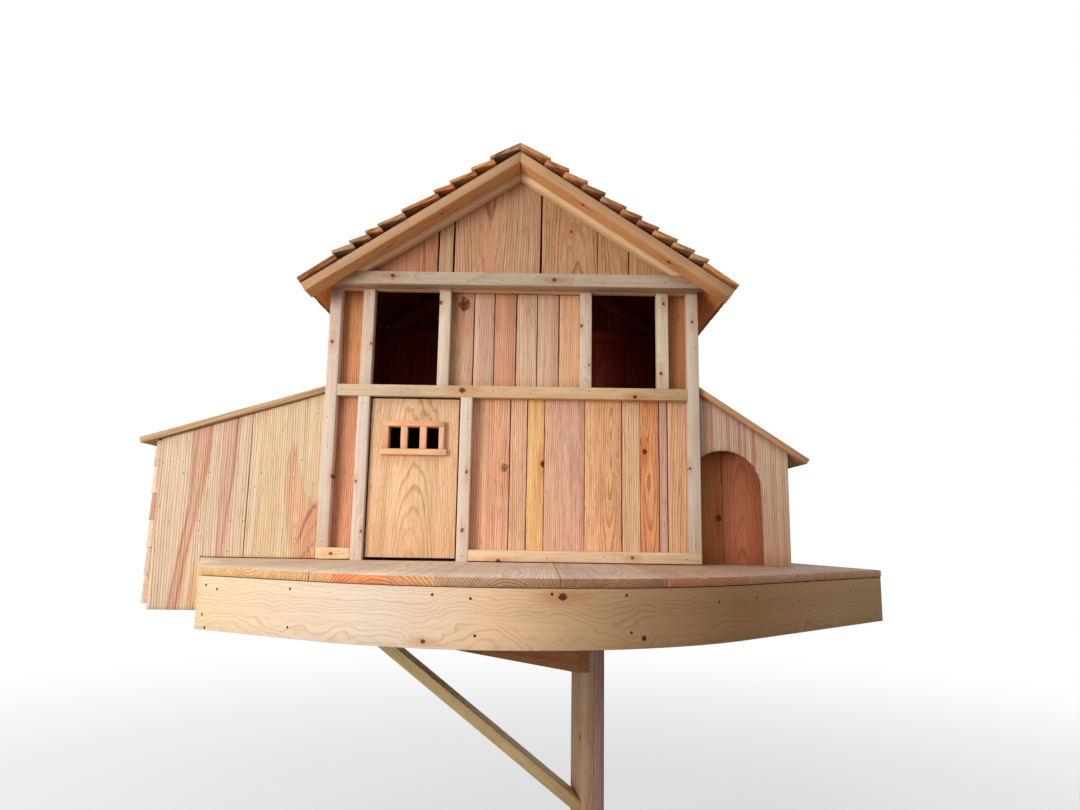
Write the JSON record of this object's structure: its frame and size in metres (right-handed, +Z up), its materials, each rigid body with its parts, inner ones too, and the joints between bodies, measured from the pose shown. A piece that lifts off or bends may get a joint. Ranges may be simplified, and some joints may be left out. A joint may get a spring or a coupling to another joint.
{
  "type": "raised timber play house",
  "caption": "Child-sized timber play house with a gable roof of split shakes, two low wings and a hinged plank door, on a raised deck with a rounded front.",
  "frame": {"origin": "on the foot of the left post plank, the flat face that stands on the ground", "axes": "+Z up, +Y from the front of the house to its back, +X to the right as seen from the front"},
  "size_m": [2.3199, 1.748, 2.5953],
  "materials": {
    "framing": "sawn softwood, unfinished",
    "wall_boards": "sawn softwood, unfinished",
    "deck": "sawn softwood, unfinished",
    "rim": "sawn softwood, unfinished",
    "beam": "sawn softwood, unfinished",
    "roof_boards": "sawn softwood, unfinished",
    "shakes": "sawn softwood, unfinished",
    "wing_boards": "sawn softwood, unfinished",
    "door": "sawn softwood, unfinished",
    "door_trim": "sawn softwood, unfinished",
    "hinge_metal": "zinc plated steel"
  },
  "bodies": {
    "frame": {"post_plank_left": "framing", "post_plank_right": "framing", "cross_beam": "beam", "knee_brace": "framing", "deck_joists": "framing", "rear_ledger": "framing", "rim_fascia": "rim", "left_skew_rim": "rim", "side_rims": "rim", "deck_floor": "deck", "corner_posts": "framing", "front_bottom_rails": "framing", "door_studs": "framing", "front_mid_rail": "framing", "window_studs": "framing", "top_plates": "framing", "side_plates": "framing", "side_rails": "framing", "back_rails": "framing", "front_boards_lower": "wall_boards", "front_boards_upper": "wall_boards", "side_boards": "wall_boards", "back_boards": "wall_boards", "upper_floor": "wall_boards", "front_tie_beam": "framing", "front_gable_rakes": "framing", "gable_boards": "wing_boards", "back_rafters": "framing", "barge_boards": "framing", "roof_boards_left": "roof_boards", "roof_boards_right": "roof_boards", "roof_shakes_left": "shakes", "roof_shakes_right": "shakes", "left_wing_walls": "wing_boards", "left_wing_siding": "wing_boards", "left_wing_roof": "wing_boards", "right_wing_front": "wing_boards", "right_wing_panel": "wall_boards", "right_wing_side": "wing_boards", "right_wing_back": "wing_boards", "right_wing_roof": "wing_boards", "door_hinges_fixed": "hinge_metal"},
    "door": {"door_leaf": "door", "door_lattice": "door_trim", "door_hinges_moving": "hinge_metal"}
  },
  "joints": [
    {"name": "door_hinge", "type": "hinge", "parent": "frame", "child": "door", "pos_m": [-0.72208, -0.41884, 1.51], "axis": [0, 0, 1], "range_deg": [0, 95]}
  ]
}
